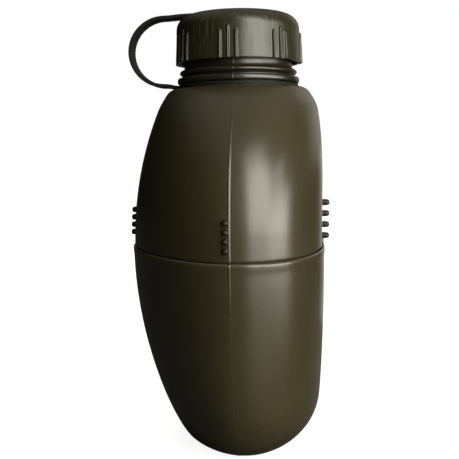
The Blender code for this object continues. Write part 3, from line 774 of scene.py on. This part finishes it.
def makeStrap():
    section = stripOutline(strap["width"] / 2.0, strap["thickness"])
    route = strapRoute()
    across = Vector((0.0, 1.0, 0.0))
    thin = strap["eyeThickness"] / strap["thickness"]
    thickening = strap["thickTo"] - strap["thickFrom"]
    middle = (strap["eyeLevel"] + strap["ringLevel"]) / 2.0

    def thickness(point):  # share of the full thickness, less where the strap lies on the cap
        if point.z < middle:
            return 1.0
        return thin + (1.0 - thin) * ease((-point.x - strap["thickFrom"]) / thickening)

    def place(column, row):
        step = min(max(row - 1, 0), len(route) - 1)
        before, after = route[max(step - 1, 0)], route[min(step + 1, len(route) - 1)]
        normal = across.cross((after - before).normalized())
        if row in (0, len(route) + 1):
            return route[step]
        out, up = section[column]
        return route[step] + across * out + normal * up * thickness(route[step])

    bm = wrapSheet(len(section), len(route) + 2, place)
    piece = finishPiece("strapBand", bm, strapPlastic)
    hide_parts("strap_band")
    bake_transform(piece)


makeRing("strapNeckRing", strap["ringBore"], strap["ringRadius"], strap["ringLevel"],
         strap["thickness"], "strap_neck_ring", "canteen")
makeRing("strapEye", strap["eyeBore"], strap["eyeRadius"], strap["eyeLevel"],
         strap["eyeThickness"], "strap_cap_ring", "strap_eye")
makeStrap()


# Sealing disc inside the cap, with a pressed ring where the neck's lip meets it
seal = {
    "radius": 0.0253, "foot": 0.1817, "thickness": 0.0016, "edge": 0.0004, "sides": 96,
    "middle": 0.012, "dentRadii": (0.0212, 0.0216, 0.0240, 0.0244), "dent": 0.0002, "sharp": 35.0,
}


def makeSeal():
    foot, edge = seal["foot"], seal["edge"]
    top = foot + seal["thickness"]
    outline = [(0.0, foot), (seal["middle"], foot)]
    outline += zip(seal["dentRadii"], (foot, foot + seal["dent"], foot + seal["dent"], foot))
    outline += arcOutline(seal["radius"] - edge, foot + edge, edge, 270, 360, 5)
    outline += arcOutline(seal["radius"] - edge, top - edge, edge, 0, 90, 5)
    outline.append((0.0, top))
    bm = bmesh.new()
    spinOutline(bm, outline, seal["sides"])
    bmesh.ops.remove_doubles(bm, verts=bm.verts, dist=spunMerge)
    piece = finishPiece("sealDisc", bm, sealRubber, seal["sharp"])
    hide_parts("cap_seal")
    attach(piece, "cap")


makeSeal()
print("all pieces made")


# Camera at the photograph's place
view = {
    "focal": 770.77, "pixels": 459.0, "sensor": 36.0, "clip": 0.01,
    "distance": 0.34851, "azimuth": 5.451, "height": 0.12869,
    "pitch": 6.097, "roll": -0.781, "yaw": 0.801,
}


def makeCamera():
    data = bpy.data.cameras.new("photoCamera")
    data.sensor_fit = "HORIZONTAL"
    data.sensor_width = view["sensor"]
    data.lens = view["focal"] * view["sensor"] / view["pixels"]
    data.clip_start = view["clip"]
    camera = addObject("photoCamera", data)
    azimuth = math.radians(view["azimuth"])
    facing = math.radians(view["azimuth"] + view["yaw"])
    pitch, roll = math.radians(view["pitch"]), math.radians(view["roll"])
    ahead = Vector((-math.sin(facing) * math.cos(pitch), math.cos(facing) * math.cos(pitch),
                    -math.sin(pitch)))
    right = Vector((math.cos(facing), math.sin(facing), 0.0))
    up = right.cross(ahead)
    sideways = right * math.cos(roll) + up * math.sin(roll)
    upward = up * math.cos(roll) - right * math.sin(roll)
    turn = Matrix((sideways, upward, -ahead)).transposed().to_4x4()
    place = Vector((view["distance"] * math.sin(azimuth), -view["distance"] * math.cos(azimuth),
                    view["height"]))
    camera.matrix_world = Matrix.Translation(place) @ turn
    bpy.context.scene.camera = camera


makeCamera()


# Studio: pale floor, white surround for the camera, soft window light from the right, a slim
# glow along the right outline and a soft lamp behind
studio = {
    "floorSize": 6.0, "floorColour": (0.040, 0.040, 0.039), "floorRough": 0.35,
    "floorGlow": 0.90, "floorShade": 0.30, "glowFrom": 0.10, "glowTo": 0.45,
    "dim": 0.004, "tint": (1.0, 0.955, 0.87),
    "behind": 0.30, "behindFrom": 0.90, "behindTo": 0.985,
    "overhead": 0.36, "overheadFrom": 0.40, "overheadTo": 0.95,
    "target": (0.0, -0.03, 0.10), "panelColour": (1.0, 0.965, 0.885),
}
# Name, azimuth and elevation in degrees, distance, width and height in metres, power in watts
panels = (
    ("windowMain", 37.5, 14.7, 0.83, 0.56, 0.62, 8.2),
    ("windowTop", 30.0, 40.6, 1.05, 0.52, 0.33, 2.1),
    ("windowSide", 76.0, 0.8, 0.80, 0.56, 0.23, 2.9),
    ("windowLow", 70.0, -4.6, 0.78, 0.56, 0.14, 0.9),
    ("windowHigh", 69.0, 16.2, 0.84, 0.48, 0.27, 1.6),
    ("frontFill", 12.0, 8.0, 0.90, 0.80, 0.70, 0.55),
    ("rimGlow", 152.0, 20.0, 0.90, 0.44, 0.54, 0.34),
    ("rimLow", 161.0, -8.0, 0.26, 0.075, 0.14, 0.021),
    ("backFill", 188.0, 28.0, 1.10, 0.60, 0.60, 6.0),
)


def makeFloor():
    bm = bmesh.new()
    bmesh.ops.create_grid(bm, x_segments=1, y_segments=1, size=studio["floorSize"])
    mesh = bpy.data.meshes.new("studioFloor")
    bm.to_mesh(mesh)
    bm.free()
    floor = addObject("studioFloor", mesh)
    material = bpy.data.materials.new("paleFloor")
    material.use_nodes = True
    tree = material.node_tree
    shader = tree.nodes["Principled BSDF"]
    shader.inputs["Base Color"].default_value = (*studio["floorColour"], 1.0)
    shader.inputs["Roughness"].default_value = studio["floorRough"]
    path = addNode(tree, "ShaderNodeLightPath")
    matt = addNode(tree, "ShaderNodeBsdfDiffuse", Color=(*[studio["floorShade"]] * 3, 1.0))
    place = addNode(tree, "ShaderNodeTexCoord")
    length = addNode(tree, "ShaderNodeVectorMath", operation="LENGTH")
    tree.links.new(place.outputs["Object"], length.inputs[0])
    away = remap(tree, length.outputs["Value"], studio["glowFrom"], studio["glowTo"],
                 studio["floorGlow"], 1.0)
    glow = addNode(tree, "ShaderNodeEmission", Color=(1.0, 1.0, 1.0, 1.0))
    tree.links.new(away, glow.inputs["Strength"])
    seen = addNode(tree, "ShaderNodeAddShader")
    tree.links.new(matt.outputs["BSDF"], seen.inputs[0])
    tree.links.new(glow.outputs["Emission"], seen.inputs[1])
    choose = addNode(tree, "ShaderNodeMixShader")
    tree.links.new(path.outputs["Is Camera Ray"], choose.inputs["Fac"])
    tree.links.new(shader.outputs["BSDF"], choose.inputs[1])
    tree.links.new(seen.outputs["Shader"], choose.inputs[2])
    tree.links.new(choose.outputs["Shader"], tree.nodes["Material Output"].inputs["Surface"])
    mesh.materials.append(material)


def makeWorld():
    world = bpy.data.worlds.new("studioWorld")
    bpy.context.scene.world = world
    world.use_nodes = True
    tree = world.node_tree
    background = tree.nodes["Background"]
    path = addNode(tree, "ShaderNodeLightPath")
    colour = mixColours(tree, path.outputs["Is Camera Ray"], studio["tint"], (1.0, 1.0, 1.0))
    tree.links.new(colour, background.inputs["Color"])
    around = addNode(tree, "ShaderNodeTexCoord")
    split = addNode(tree, "ShaderNodeSeparateXYZ")
    tree.links.new(around.outputs["Generated"], split.inputs["Vector"])
    behind = remap(tree, split.outputs["Y"], studio["behindFrom"], studio["behindTo"],
                   studio["dim"], studio["behind"])
    overhead = remap(tree, split.outputs["Z"], studio["overheadFrom"], studio["overheadTo"],
                     0.0, studio["overhead"])
    seen = joinValues(tree, "MAXIMUM", path.outputs["Is Camera Ray"],
                      path.outputs["Is Transmission Ray"])
    glossy = joinValues(tree, "MULTIPLY", path.outputs["Is Glossy Ray"], behind)
    dim = joinValues(tree, "MAXIMUM", joinValues(tree, "MAXIMUM", glossy, overhead), studio["dim"])
    tree.links.new(joinValues(tree, "MAXIMUM", seen, dim), background.inputs["Strength"])


def addPanel(name, azimuth, elevation, distance, width, height, power):
    data = bpy.data.lights.new(name, "AREA")
    data.shape = "RECTANGLE"
    data.size, data.size_y = width, height
    data.energy = power
    data.color = studio["panelColour"]
    lamp = addObject(name, data)
    turn, rise = math.radians(azimuth), math.radians(elevation)
    away = Vector((math.sin(turn) * math.cos(rise), -math.cos(turn) * math.cos(rise),
                   math.sin(rise)))
    lamp.location = Vector(studio["target"]) + away * distance
    lamp.rotation_euler = (-away).to_track_quat("-Z", "Y").to_euler()
    return lamp


makeFloor()
makeWorld()
lamps = [addPanel(*panel) for panel in panels]
lamps[-1].visible_glossy = False  # the one behind would show as a line on the cap's top edge
bpy.context.scene.view_settings.view_transform = "Standard"
print("studio made")
